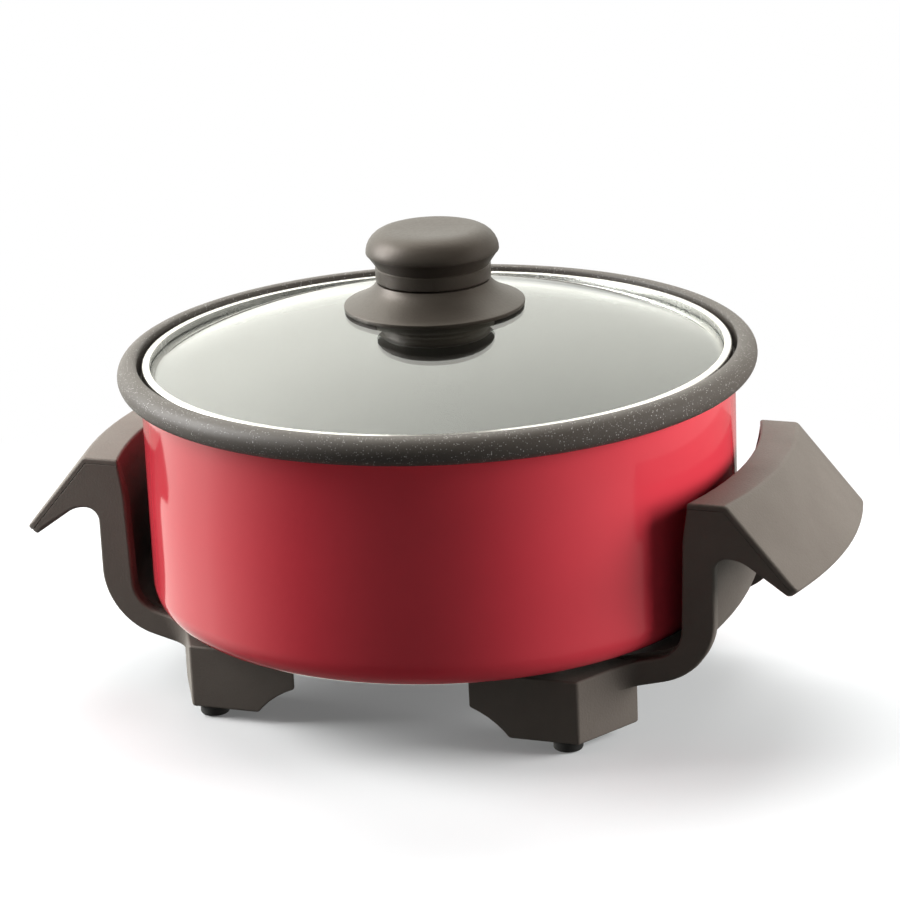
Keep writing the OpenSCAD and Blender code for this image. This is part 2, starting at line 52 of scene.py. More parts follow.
# %% Camera
MM = 0.001
CAMERA_ROLL = -2.5216
bpy.context.scene.view_settings.view_transform = "Standard"
camera_data = bpy.data.cameras.new("camera")
camera_data.lens = 134.855
camera_data.sensor_width = 36
camera_data.shift_x = 0.00994
camera_data.shift_y = -0.00032
camera_data.clip_end = 20
camera = bpy.data.objects.new("camera", camera_data)
bpy.context.scene.collection.objects.link(camera)
eye = Vector((0.43267, -1.13675, 0.47898))
aim = Vector((0, 0, 0.08725))
turn = (aim - eye).to_track_quat("-Z", "Y").to_matrix().to_4x4()
camera.matrix_world = Matrix.Translation(eye) @ turn @ Matrix.Rotation(radians(CAMERA_ROLL), 4, "Z")
bpy.context.scene.camera = camera
print("camera stands", round((aim - eye).length, 3), "m from the middle of the pan")

# %% [markdown]
# ## Drawing by hand in code
# Most pieces start as a row of edges, as a turner or a moulder draws half of a section. A plane is added, merged to
# one vertex, and that vertex is extruded from point to point. Sizes are written in millimetres and turned into metres
# here, in one place.


# %% Helpers for outlines
def arc(cx, cz, r, start, end, steps):
    """Points in millimetres along an arc, angles in degrees."""
    span = [radians(start + (end - start) * i / steps) for i in range(steps + 1)]
    return [(cx + r * cos(a), cz + r * sin(a)) for a in span]


def deselect():
    bpy.ops.object.select_all(action="DESELECT")


def take(piece):
    """Makes one piece the only selected and active one."""
    deselect()
    piece.select_set(True)
    bpy.context.view_layer.objects.active = piece


def draw_chain(name, points):
    """Extrudes one vertex along points in millimetres, and stays in edit mode."""
    deselect()
    bpy.ops.mesh.primitive_plane_add(size=MM)
    piece = bpy.context.object
    piece.name = piece.data.name = name
    bpy.ops.object.mode_set(mode="EDIT")
    bpy.ops.mesh.select_mode(type="VERT")
    bpy.ops.mesh.merge(type="CENTER")
    here = Vector((0, 0, 0))
    for number, point in enumerate(points):
        there = Vector(point) * MM
        if number == 0:
            bpy.ops.transform.translate(value=there)
        else:
            bpy.ops.mesh.extrude_vertices_move(TRANSFORM_OT_translate={"value": there - here})
        here = there
    bpy.ops.mesh.select_all(action="SELECT")
    return piece


def close_mesh(piece, angle=32):
    """Merges doubles, points the faces outwards and smooths every edge flatter than the angle."""
    bpy.ops.mesh.select_all(action="SELECT")
    bpy.ops.mesh.remove_doubles(threshold=0.01 * MM)
    bpy.ops.mesh.normals_make_consistent(inside=False)
    bpy.ops.object.mode_set(mode="OBJECT")
    take(piece)
    bpy.ops.object.shade_smooth_by_angle(angle=radians(angle))
    return piece


def lathe(name, outline, steps=128, angle=32):
    """Spins an outline of (radius, height) points round the vertical axis."""
    piece = draw_chain(name, [(r, 0, z) for r, z in outline])
    bpy.ops.mesh.spin(steps=steps, angle=2 * pi, center=(0, 0, 0), axis=(0, 0, 1))
    return close_mesh(piece, angle)


def pick(piece, kind, test):
    """Selects the edges or faces that pass a test, in edit mode."""
    bpy.ops.mesh.select_mode(type=kind)
    bpy.ops.mesh.select_all(action="DESELECT")
    bm = bmesh.from_edit_mesh(piece.data)
    bm.normal_update()
    chosen = [e for e in (bm.edges if kind == "EDGE" else bm.faces) if test(e)]
    for e in chosen:
        e.select_set(True)
    bmesh.update_edit_mesh(piece.data)
    return len(chosen)


def report(piece):
    low = [min(v.co[i] for v in piece.data.vertices) * 1000 for i in range(3)]
    high = [max(v.co[i] for v in piece.data.vertices) * 1000 for i in range(3)]
    print(piece.name, len(piece.data.polygons), "faces,", [round(v, 1) for v in low], [round(v, 1) for v in high])


# %% [markdown]
# ## Pan
# The real pan is one deep casting: a straight wall, a rounded foot, a rolled rim and an inner step that carries the
# lid. It is round all over, so one spun outline makes it. The paint, the two coats and the bare metal below are four
# materials on the same mesh, chosen by where each face lies.

# %% Pan outline and spin
PAN_R, PAN_FOOT, PAN_TOP = 111.6, 32.5, 129.3
RIM_X, RIM_Z, RIM_BEAD = 114.7, 124.0, 5.3
SEAT_Z, SEAT_R, INNER_R = 120.3, 112.6, 108.5
BOTTOM_R, BOTTOM_T, WALL_MIDDLE = 70, 6, 80
FOOT_ROUND, INNER_ROUND, RIM_ROUND = 12, 8.9, 0.9
pan_outline = [(0, PAN_FOOT), (BOTTOM_R, PAN_FOOT)]
pan_outline += arc(PAN_R - FOOT_ROUND, PAN_FOOT + FOOT_ROUND, FOOT_ROUND, -90, 0, 14)
pan_outline += [(PAN_R, WALL_MIDDLE), (PAN_R, 119.3), (PAN_R + 0.15, 119.75)]
pan_outline += arc(RIM_X, RIM_Z, RIM_BEAD, -122, 96, 28)
pan_outline += arc(SEAT_R + RIM_ROUND, PAN_TOP - 1.1, RIM_ROUND, 110, 180, 4)
pan_outline += [(SEAT_R, SEAT_Z + 0.4), (SEAT_R - 0.4, SEAT_Z), (INNER_R + 0.5, SEAT_Z)]
pan_outline += [(INNER_R, SEAT_Z - 0.5), (INNER_R, WALL_MIDDLE)]
pan_outline += arc(INNER_R - INNER_ROUND, PAN_FOOT + BOTTOM_T + INNER_ROUND, INNER_ROUND, 0, -90, 10)
pan_outline += [(BOTTOM_R, PAN_FOOT + BOTTOM_T), (0, PAN_FOOT + BOTTOM_T)]
pan = lathe("skillet_pan", pan_outline, steps=160, angle=38)
report(pan)

# %% [markdown]
# ## Lid
# The lid is a shallow dome of clear glass in a thin polished band. The glass is spun from its two arcs, so the wall
# is true glass with an inside and an outside, and light bends through it. The vent is cut with a boolean, because a
# hole off the axis can't be spun, and a small rolled eyelet lines it. The band's lip stands up past the edge of the
# glass, so that it shows as a bright line all round.

# %% Glass
DOME_R, GLASS_T, DOME_Z = 284.0, 3.0, -137.98
GLASS_R, HOLE_R = 109.05, 4.0


def dome(radius, start, end, steps):
    span = [start + (end - start) * i / steps for i in range(steps + 1)]
    return [(r, DOME_Z + sqrt(radius * radius - r * r)) for r in span]


glass_outline = dome(DOME_R - GLASS_T, HOLE_R, GLASS_R, 30) + dome(DOME_R, GLASS_R, HOLE_R, 30)
glass_outline.append(glass_outline[0])
glass = lathe("lid_dome_glass", glass_outline, steps=160)

VENT_R, VENT_DIST, VENT_DIR = 2.0, 75.45, 96
vent_lean = asin(VENT_DIST / DOME_R)


def lean_to_vent(piece):
    """Tips a piece made on the dome's axis over to the vent and fixes it there."""
    take(piece)
    piece.rotation_euler = (0, vent_lean, radians(VENT_DIR))
    piece.location = (0, 0, DOME_Z * MM)
    bpy.ops.object.transform_apply(location=True, rotation=True, scale=True)


def cut_with(piece, tool):
    """Takes a tool's shape out of a piece and deletes the tool."""
    take(piece)
    cut = piece.modifiers.new("cut", "BOOLEAN")
    cut.object = tool
    cut.operation = "DIFFERENCE"
    cut.solver = "EXACT"
    bpy.ops.object.modifier_apply(modifier=cut.name)
    bpy.data.objects.remove(tool)


cutter = lathe("vent_cutter", [(0, 270), (3.2, 270), (3.2, 295), (0, 295)], steps=48)
lean_to_vent(cutter)
cut_with(glass, cutter)
bpy.ops.object.shade_smooth_by_angle(angle=radians(32))
report(glass)

# %% Band and vent eyelet
BAND_R, LIP_R, BAND_TOP, LIP_LOW, CLAMP_Z = 110.7, 107.65, 127.9, 124.92, 121.0
BAND_ROUND, LIP_ROUND, BAND_IN = 1.0, 0.35, GLASS_R + 0.05
band_outline = [(LIP_R, SEAT_Z), (BAND_R - 0.4, SEAT_Z), (BAND_R, SEAT_Z + 0.4)]
band_outline += arc(BAND_R - BAND_ROUND, BAND_TOP - BAND_ROUND, BAND_ROUND, 0, 90, 6)
band_outline += arc(LIP_R + LIP_ROUND, BAND_TOP - LIP_ROUND, LIP_ROUND, 90, 180, 4)
band_outline += arc(LIP_R + LIP_ROUND, LIP_LOW + LIP_ROUND, LIP_ROUND, 180, 270, 4)
band_outline += [(BAND_IN, LIP_LOW), (BAND_IN, CLAMP_Z), (LIP_R, CLAMP_Z), (LIP_R, SEAT_Z)]
band = lathe("lid_edge_band", band_outline, steps=160)
report(band)

eyelet_outline = [(VENT_R, 280.4), (VENT_R + 0.3, 280.2), (4.2, 280.2), (4.2, 280.85), (3.0, 280.9)]
eyelet_outline += [(3.0, 284.1), (5.0, 284.1)]
eyelet_outline += arc(4.6, 284.4, 0.4, 0, 90, 4) + arc(2.5, 284.3, 0.5, 90, 180, 4) + [(VENT_R, 280.4)]
eyelet = lathe("steam_vent_eyelet", eyelet_outline, steps=48)
lean_to_vent(eyelet)
report(eyelet)

# %% [markdown]
# ## Knob
# The knob is two mouldings with a dark seam between them: a cap on a short cone and collar, and a flared skirt
# that spreads the load on the glass. Both are turned shapes with soft edges, so small arcs go into the outline where a
# sharp corner would look machined.

# %% Knob cap and skirt
COLLAR_Z, COLLAR_R, CONE_Z = 154.54, 21.6, 160.3
CAP_Z, CAP_TOP, CAP_R, CAP_FLAT = 165.54, 174.04, 24.9, 16.0
cap_outline = [(0, COLLAR_Z + 0.3), (COLLAR_R - 0.9, COLLAR_Z + 0.3)]
cap_outline += arc(COLLAR_R - 0.6, COLLAR_Z + 0.9, 0.6, -90, 0, 4)
cap_outline += [(COLLAR_R, CONE_Z - 0.35), (COLLAR_R - 0.4, CONE_Z)]
cap_outline += [(CAP_R - 0.5, CAP_Z - 0.6), (CAP_R - 0.1, CAP_Z - 0.3)]
cap_round = [radians(a) for a in (0, 8, 18, 30, 42, 54, 66, 78, 90)]
cap_outline += [(CAP_FLAT + (CAP_R - CAP_FLAT) * cos(a), CAP_Z + (CAP_TOP - CAP_Z) * sin(a)) for a in cap_round]
cap_outline += [(12, CAP_TOP - 0.08), (7, CAP_TOP - 0.35), (0, CAP_TOP - 0.6)]
knob_cap = lathe("knob_cap", cap_outline, steps=96, angle=25)
report(knob_cap)

SKIRT_R, SKIRT_Z, SEAL_IN, INSERT_R = 33.9, 145.54, 25.9, 4.4
SKIRT_BACK = COLLAR_Z - 3
lip_z = SKIRT_Z + 0.1
neck_top, lip_edge = (COLLAR_R - 0.2, COLLAR_Z - 0.3), (SKIRT_R - 0.3, lip_z + 0.15)
neck = (COLLAR_R + 1.2, (COLLAR_Z + lip_z) / 2)
flare = []
for step in range(13):
    t = step / 12
    flare.append(tuple((1 - t) ** 2 * a + 2 * t * (1 - t) * b + t * t * c
                       for a, b, c in zip(neck_top, neck, lip_edge)))
skirt_outline = [(INSERT_R, SKIRT_BACK), (INSERT_R, COLLAR_Z), (COLLAR_R - 0.9, COLLAR_Z)] + flare
lip_low = DOME_Z + sqrt(DOME_R ** 2 - SKIRT_R ** 2) + 0.15
skirt_outline += arc(SKIRT_R - 0.4, lip_z - 0.25, 0.4, 60, 0, 4)
skirt_outline += [(SKIRT_R - 0.1, lip_low + 0.2), (SKIRT_R - 0.3, lip_low), (SKIRT_R - 1.8, lip_low + 0.25)]
skirt_outline += [(SEAL_IN, SKIRT_Z), (SEAL_IN - 1.5, SKIRT_Z + 1.2)]
skirt_outline += [(COLLAR_R - 2.5, SKIRT_BACK), (INSERT_R, SKIRT_BACK)]
knob_skirt = lathe("knob_skirt_flare", skirt_outline, steps=96, angle=40)
report(knob_skirt)

# %% [markdown]
# ## Handles
# Each handle is a plastic frame: two end plates with legs that bend under the pan, foot blocks, a web between the
# legs and a hooked floor under the grip. A thin shell covers the grip, and its edge shows as a line on the end faces.
# Moulded plastic has no sharp edges. Beveling such long curved edges is fragile, so the shell and the plates are
# lofted instead: one section is drawn at each depth, a little smaller towards the ends, and the sections are bridged.
# The corners of a section carry their own radius, which a helper turns into small arcs.


# %% Helpers for sections
def flank(a, b):
    """Unit direction from a to b, and the normal on its right, which points inwards on a clockwise outline."""
    way = Vector((b[0] - a[0], b[1] - a[1])).normalized()
    return way, Vector((way.y, -way.x))


def shrink(corners, by):
    """Moves each side of a clockwise outline inwards by its own distance; a radius follows the sides beside it."""
    moved = []
    for k, (x, z, r, steps) in enumerate(corners):
        way_in, side_in = flank(corners[k - 1], corners[k])
        way_out, side_out = flank(corners[k], corners[(k + 1) % len(corners)])
        a, b = by[k - 1], by[k]
        turn = side_in.x * side_out.y - side_in.y * side_out.x
        step = Vector((a * side_out.y - b * side_in.y, b * side_in.x - a * side_out.x)) / turn
        bend = -min(a, b) if turn < 0 else max(a, b)
        moved.append((x + step.x, z + step.y, max(0.05, r + bend) if r else 0, steps))
    return moved


def rounded(corners):
    """Points of an outline whose corners (x, z, radius, steps) are replaced by arcs."""
    points = []
    for k, (x, z, r, steps) in enumerate(corners):
        here = Vector((x, z))
        way_in, side_in = flank(corners[k - 1], corners[k])
        way_out, side_out = flank(corners[k], corners[(k + 1) % len(corners)])
        if not r:
            points.append((x, z))
            continue
        turn = way_in.angle_signed(way_out)
        reach = r * tan(abs(turn) / 2)
        middle = here - way_in * reach + side_in * (r if turn > 0 else -r)
        arm = here - way_in * reach - middle
        for i in range(steps + 1):
            swing = Matrix.Rotation(-turn * i / steps, 2)
            points.append(tuple(middle + swing @ arm))
    return points


def join(pieces, name):
    take(pieces[0])
    for piece in pieces:
        piece.select_set(True)
    bpy.ops.object.join()
    whole = bpy.context.object
    whole.name = whole.data.name = name
    return whole


def loft(name, loops, angle=34):
    """Draws closed loops, bridges them in their order and fills the two ends."""
    rings = []
    for number, loop in enumerate(loops):
        rings.append(draw_chain(name + "_" + str(number), loop + loop[:1]))
        bpy.ops.mesh.remove_doubles(threshold=0.005 * MM)
        bpy.ops.object.mode_set(mode="OBJECT")
    piece = join(rings, name)
    bpy.ops.object.mode_set(mode="EDIT")
    bpy.ops.mesh.select_all(action="SELECT")
    bpy.ops.mesh.bridge_edge_loops(type="SINGLE")
    bpy.ops.mesh.select_all(action="SELECT")
    bpy.ops.mesh.fill_holes(sides=0)
    return close_mesh(piece, angle)


def edge_round(r, angles):
    """Depth from an end face and distance inwards, along a quarter circle of radius r."""
    return [(r - r * sin(radians(a)), r - r * cos(radians(a))) for a in angles]


# %% [markdown]
# The grip follows an arc about a point beyond the pan. Its sections are written as distances from that point, and
# each is laid where its end plane cuts the arc. The two front corners of the tip are rounded as seen from above, so the
# sections near the ends stop short of the full reach.

# %% Grip cover
ARC_X, GRIP_HALF, PLATE_IN = -45.0, 51.0, 46.0
GRIP_Z, UNDER_Z, CEILING_Z, FLOOR_Z = 91.3, 89.3, 72.1, 74.6
GRIP_IN, CREST, TIP_R, TIP_Z = 164.125, 178.125, 202.925, 61.3
IN_TOP, IN_TIP, IN_TIP_Z, TOE, TOE_Z = 177.2, 201.4, 60.03, 199.5, 58.5
SLOPE = (GRIP_Z - TIP_Z) / (TIP_R - CREST)
CORNER_X, CORNER_R = 149.17, 3.0


def on_arc(rho, y):
    """The x of a circle of radius rho about the arc's centre, at depth y."""
    return sqrt(rho * rho - y * y) + ARC_X


def reach_at(y):
    """How far the grip reaches at depth y, as a distance from the arc's centre."""
    past = abs(y) - (GRIP_HALF - CORNER_R)
    if past <= 0:
        return TIP_R
    x = CORNER_X + sqrt(max(0, CORNER_R ** 2 - past ** 2))
    return min(TIP_R, sqrt((x - ARC_X) ** 2 + y * y))


def cover_loop(y, inset):
    """The cover's section at depth y, its outer edges drawn in by inset."""
    far = reach_at(y)
    back = TIP_R - far
    corners = [(GRIP_IN, UNDER_Z, 0, 0), (GRIP_IN, GRIP_Z, 1.0, 4), (CREST, GRIP_Z, 2.5, 6),
               (far, TIP_Z + SLOPE * back, 1.0, 4), (IN_TIP - back, IN_TIP_Z + SLOPE * back, 0, 0),
               (IN_TOP, UNDER_Z, 1.5, 4)]
    outline = rounded(shrink(corners, [inset, inset, inset, 0, 0, 0]))
    return [(on_arc(rho, y), y, z) for rho, z in outline]


cover_ends = [(GRIP_HALF - gap, inset) for gap, inset in edge_round(0.9, (90, 65, 40, 20, 0))]
cover_run = cover_ends + [(y, 0) for y in (49.6, 49, 48.4, 48, 40, 32, 24, 16, 8)]
cover_run = [(-y, inset) for y, inset in cover_run] + [(0, 0)] + cover_run[::-1]
cover = loft("grip_shell_right", [cover_loop(y, inset) for y, inset in cover_run])
report(cover)

# %% [markdown]
# The floor of the grip, its inner wall and the web between the legs follow the same arc with a plain section. They
# are spun through a few degrees about its centre and cut off square by two planes, inside the end plates.


# %% Helpers for spun pieces
def cut_off(point, normal):
    """Cuts with a plane, drops what is beyond it and fills the cut."""
    bpy.ops.mesh.select_all(action="SELECT")
    bpy.ops.mesh.bisect(plane_co=Vector(point) * MM, plane_no=normal, use_fill=True, clear_outer=True)


def sweep(name, outline, end):
    """Spins an outline of (distance, height) about the grip's arc and cuts it between two end planes."""
    half = asin((end + 4) / min(rho for rho, z in outline))
    points = [(ARC_X + rho * cos(half), -rho * sin(half), z) for rho, z in outline + outline[:1]]
    piece = draw_chain(name, points)
    bpy.ops.mesh.remove_doubles(threshold=0.01 * MM)
    bpy.ops.mesh.spin(steps=28, angle=-2 * half, center=(ARC_X * MM, 0, 0), axis=(0, 0, 1))
    bpy.ops.mesh.select_all(action="SELECT")
    bpy.ops.mesh.remove_doubles(threshold=0.01 * MM)
    cut_off((0, -end, 0), (0, -1, 0))
    cut_off((0, end, 0), (0, 1, 0))
    return piece


# %% Floor of the grip
FLOOR_IN = 163.2
floor_outline = rounded([
    (FLOOR_IN, FLOOR_Z, 0, 0), (183.1, FLOOR_Z, 0, 0), (199.8, 61.96, 0, 0), (IN_TIP, IN_TIP_Z, 0, 0),
    (TOE, TOE_Z, 0.8, 3), (182.1, CEILING_Z, 9, 5), (FLOOR_IN, CEILING_Z, 0, 0)])
grip_floor = sweep("grip_floor", floor_outline, PLATE_IN + 0.5)
close_mesh(grip_floor)
report(grip_floor)

# %% Inner wall of the grip, and the web between the legs
LEG_X, BEND_X, BEND_Z, BEND_R = 121.0, 95.0, 47.3, 26.0
STRAP_TILT, STRAP_END, BLOCK_TOP = 14.0, 85.4, 28.4
WEB_OUT, WEB_IN, WALL_OUT, WALL_TOP, WALL_LOW = 119.3, 117.0, 121.6, 89.2, 73.4


def strap_low(x, r=BEND_R):
    """Height of a strap's underside, a straight line that touches the bend."""
    tilt = radians(STRAP_TILT)
    return BEND_Z - r * cos(tilt) - (BEND_X + r * sin(tilt) - x) * tan(tilt)


out_r = WEB_OUT - BEND_X
web_outline = rounded([
    (GRIP_IN + ARC_X, WALL_TOP, 0, 0), (WALL_OUT, WALL_TOP, 0, 0),
    (WALL_OUT, WALL_LOW, 0, 0), (WEB_OUT, WALL_LOW, 0, 0),
    (WEB_OUT, strap_low(WEB_OUT, out_r), out_r, 14), (STRAP_END, strap_low(STRAP_END, out_r), 0, 0),
    (STRAP_END, 27.4, 0, 0), (WEB_IN, 35.4, 11, 8), (WEB_IN, 70, 20, 3), (GRIP_IN + ARC_X, 82, 20, 3)])
web = sweep("leg_web", [(x - ARC_X, z) for x, z in web_outline], PLATE_IN + 0.5)
close_mesh(web)
report(web)

# %% [markdown]
# The end plate is one outline: the hooked beak at the top, the leg, the bend and the strap that runs into the foot
# block. Its loops shrink at the front and the back face, which rounds every edge at once, and only a hair where the
# cover lies on it, which leaves the thin seam. A number with each corner says how round it is, and the last one in how
# many steps.


# %% End plate
HOOK_Z = 71.1


def plate_loop(y, inset):
    """The plate's outline at depth y, its edges drawn in by inset."""
    back = TIP_R - reach_at(y)
    corners = [
        (on_arc(GRIP_IN, y), UNDER_Z, 0.5, 2), (on_arc(IN_TOP, y), UNDER_Z, 1.5, 4),
        (on_arc(IN_TIP - back, y), IN_TIP_Z + SLOPE * back, 0.4, 2),
        (on_arc(TOE - back, y), TOE_Z + SLOPE * back, 1.4, 5),
        (on_arc(182.4, y), HOOK_Z, 13, 7), (LEG_X, HOOK_Z, 5, 8), (LEG_X, strap_low(LEG_X), BEND_R, 18),
        (STRAP_END, strap_low(STRAP_END), 0, 0), (STRAP_END, BLOCK_TOP, 0, 0),
        (108.0, 33.1, 12, 10), (109.3, 77, 30, 4)]
    seam = 0.06 + 0.3 * inset
    sides = [seam, seam, inset, inset, inset, inset, inset, 0, inset, inset, inset]
    return [(x, y, z) for x, z in rounded(shrink(corners, sides))]


plate_run = [(gap - GRIP_HALF, inset) for gap, inset in edge_round(1.1, (90, 62, 32, 0))]
plate_run += [(y, 0) for y in (-49, -48, -47.2)]
plate_run += [(-PLATE_IN - gap, inset) for gap, inset in edge_round(0.6, (0, 45, 90))]
plate = loft("end_plate", [plate_loop(y, inset) for y, inset in plate_run])
report(plate)

# %% [markdown]
# A foot block is a hollow moulding whose two ends slant. Its front face is drawn with the scoop under the inner end,
# which is part of an ellipse, and the face is then extruded along the slant. The bottom is inset and pushed up, which
# leaves the thin walls that show from below.

# %% Foot block
BLOCK_IN, BLOCK_OUT, BLOCK_FRONT, BLOCK_SLANT, BLOCK_DEEP = 34.0, 76.0, 73.5, 14.4, 27.0
PAD_H, BLOCK_WALL, BLOCK_HOLLOW = 4.0, 2.2, 16
SCOOP_X, SCOOP_Z, SCOOP_WIDE, SCOOP_TALL = 21.2, -13.1, 34.0, 30.0
scoop = [(SCOOP_X + SCOOP_WIDE * cos(radians(a)), SCOOP_Z + SCOOP_TALL * sin(radians(a)))
         for a in (67.88, 61, 54, 47, 40.5, 34.75)]
block_outline = [(BLOCK_OUT, PAD_H), (BLOCK_OUT, BLOCK_TOP), (BLOCK_IN, BLOCK_TOP)] + scoop
block = draw_chain("foot_block", [(x, -BLOCK_FRONT, z) for x, z in block_outline + block_outline[:1]])
bpy.ops.mesh.remove_doubles(threshold=0.01 * MM)
bpy.ops.mesh.edge_face_add()
bpy.ops.mesh.extrude_region_move(TRANSFORM_OT_translate={"value": (BLOCK_SLANT * MM, BLOCK_DEEP * MM, 0)})
bpy.ops.mesh.select_all(action="SELECT")
bpy.ops.mesh.normals_make_consistent(inside=False)
print("block edges", pick(block, "EDGE", lambda e: e.calc_face_angle(0) > radians(25)))
bpy.ops.mesh.bevel(offset=1.0 * MM, segments=3, profile=0.5, affect="EDGES", clamp_overlap=True)
print("bottom faces", pick(block, "FACE", lambda f: f.normal.z < -0.999 and f.calc_center_median().z < 4.1 * MM))
bpy.ops.mesh.inset(thickness=BLOCK_WALL * MM, depth=0)
bpy.ops.mesh.extrude_region_move(TRANSFORM_OT_translate={"value": (0, 0, BLOCK_HOLLOW * MM)})
close_mesh(block, 34)
report(block)

# %% [markdown]
# The strap flows into the outer face of the block in a hollow curve, wider at the top than below, where it ends in a
# crease. Loops at rising heights, each with its own arc, are lofted into that blend.

# %% Blend between the strap and the block
slant = atan2(BLOCK_SLANT, BLOCK_DEEP)
corner_x = BLOCK_OUT + BLOCK_SLANT * (BLOCK_FRONT - GRIP_HALF) / BLOCK_DEEP
STRAP_RISE, STRAP_T = 0.2085, 10


def blend_loop(share, inset):
    """A loop at a share of the strap's height, 0 below and 1 on top."""
    r = 8 + 7 * share
    reach = r / tan(pi / 4 + slant / 2)
    middle = (corner_x + reach, -GRIP_HALF - r)
    hollow = [(middle[0] + (r + inset) * cos(a), middle[1] + (r + inset) * sin(a))
              for a in [pi - slant + (slant - pi / 2) * i / 10 for i in range(11)]]
    plan = hollow + [(hollow[-1][0], -GRIP_HALF + 2), (corner_x - 2, -GRIP_HALF + 2)]
    plan.append((hollow[0][0] - 2, hollow[0][1] + 1))
    loop = []
    for x, y in plan:
        low = strap_low(max(x, STRAP_END))
        top = BLOCK_TOP + STRAP_RISE * max(0, x - STRAP_END)
        loop.append((x, y, low + share * (top - low)))
    return loop


blend_run = [(gap / STRAP_T, inset) for gap, inset in edge_round(1.1, (90, 60, 30, 0))]
blend_run += [(0.25, 0), (0.5, 0), (0.75, 0)]
blend_run += [(1 - gap / STRAP_T, inset) for gap, inset in edge_round(1.1, (0, 30, 60, 90))]
blend = loft("strap_blend", [blend_loop(share, inset) for share, inset in blend_run])
report(blend)

# %% Bosses inside the block, for the pad and the screw
PAD_X, PAD_Y, FIX_X, FIX_Y = 69.8, 67.0, 61.0, 58.0
BOSS_LOW, BOSS_TOP = 14.4, 20.4


def post(name, x, y, outline, steps=40):
    """A small turned piece, moved to its place and fixed there."""
    piece = lathe(name, outline, steps=steps)
    piece.location = (x * MM, y * MM, 0)
    take(piece)
    bpy.ops.object.transform_apply(location=True, rotation=True, scale=True)
    return piece


boss_outline = [(0, PAD_H + 0.2), (5.4, PAD_H + 0.2), (5.4, BOSS_TOP), (0, BOSS_TOP)]
pad_post = post("pad_post", PAD_X, -PAD_Y, boss_outline)
fix_outline = [(4.7, BOSS_LOW), (7.5, BOSS_LOW), (7.5, BOSS_TOP), (4.7, BOSS_TOP), (4.7, BOSS_LOW)]
fix_post = post("fix_post", FIX_X, -FIX_Y, fix_outline)
print("bosses", pad_post.name, fix_post.name)

# %% [markdown]
# Two screws hold the cover from below. Each sits in a sunk hole in the floor, with a round boss above it, so the
# floor is cut with a boolean and a turned boss is set over the hole.

# %% Screw holes in the grip floor
SCREW_RHO, SCREW_Y, SCREW_HEAD, SCREW_HOLE, POST_R = GRIP_IN + 8, 28.0, 3.2, 1.7, 5.2
POST_LOW, POST_TOP, HEAD_TOP = FLOOR_Z - 2.2, 78.6, 75.9
screw_x = on_arc(SCREW_RHO, SCREW_Y)
drill_outline = [(0, 66), (SCREW_HEAD, 66), (SCREW_HEAD, 76), (0, 76)]
post_outline = [(SCREW_HEAD, POST_LOW), (POST_R, POST_LOW), (POST_R, POST_TOP), (SCREW_HOLE, POST_TOP),
                (SCREW_HOLE, HEAD_TOP), (SCREW_HEAD, HEAD_TOP), (SCREW_HEAD, POST_LOW)]
screw_posts = []
for y in (-SCREW_Y, SCREW_Y):
    cut_with(grip_floor, post("drill", screw_x, y, drill_outline, steps=32))
    screw_posts.append(post("screw_post", screw_x, y, post_outline, steps=32))
report(grip_floor)


# %% Both handles
def mirrored(piece, name, axis):
    """A copy with its own mesh, mirrored across a middle plane, with its faces turned outwards again."""
    take(piece)
    bpy.ops.object.duplicate(linked=False)
    copy = bpy.context.object
    copy.name = copy.data.name = name
    copy.scale[axis] = -1
    bpy.ops.object.transform_apply(location=True, rotation=True, scale=True)
    bpy.ops.object.mode_set(mode="EDIT")
    bpy.ops.mesh.select_all(action="SELECT")
    bpy.ops.mesh.normals_make_consistent(inside=False)
    bpy.ops.object.mode_set(mode="OBJECT")
    return copy


front_parts = [plate, block, blend, pad_post, fix_post]
rear_parts = [mirrored(part, part.name + "_rear", 1) for part in front_parts]
handle_right = join(front_parts + rear_parts + screw_posts + [web, grip_floor], "handle_frame_right")
handle_left = mirrored(handle_right, "handle_frame_left", 0)
cover_left = mirrored(cover, "grip_shell_left", 0)
for piece in (handle_right, handle_left, cover, cover_left):
    take(piece)
    even = piece.modifiers.new("even_shading", "WEIGHTED_NORMAL")
    even.keep_sharp = True
    bpy.ops.object.modifier_apply(modifier=even.name)
    report(piece)

# %% [markdown]
# ## Foot pads
# Four short rubber pads stand under the blocks. One is turned with a soft lower edge, copied to the four corners and
# joined, because the four are one kind of piece in the parts list.

# %% Foot pads
pad_outline = [(0, 0.1), (3.2, 0.1), (3.6, 0)] + arc(4.4, 1.1, 1.1, -90, 0, 5) + [(5.5, PAD_H), (0, PAD_H)]
first_pad = post("foot_pad", PAD_X, -PAD_Y, pad_outline, steps=48)
second_pad = mirrored(first_pad, "foot_pad_rear", 1)
left_pads = [mirrored(first_pad, "foot_pad_left", 0), mirrored(second_pad, "foot_pad_left_rear", 0)]
pads = join([first_pad, second_pad] + left_pads, "rubber_pads")
report(pads)

# %% [markdown]
# ## Finishes
# Real surfaces are never one flat colour: paint has a faint unevenness, moulded plastic a fine grain, and the
# non-stick coat holds bright flecks. These effects are used by several materials, so each is a node group with its own
# inputs. A group only gives out values that change over the surface, and the shader stays in the material.


# %% Helpers for nodes
MIX_A, MIX_B, MIX_OUT = 6, 7, 2


def noise(tree, vector, scale, detail, roughness=0.5):
    node = tree.nodes.new("ShaderNodeTexNoise")
    node.inputs["Detail"].default_value = detail
    node.inputs["Roughness"].default_value = roughness
    tree.links.new(vector, node.inputs["Vector"])
    if isinstance(scale, (int, float)):
        node.inputs["Scale"].default_value = scale
    else:
        tree.links.new(scale, node.inputs["Scale"])
    return node.outputs["Fac"]


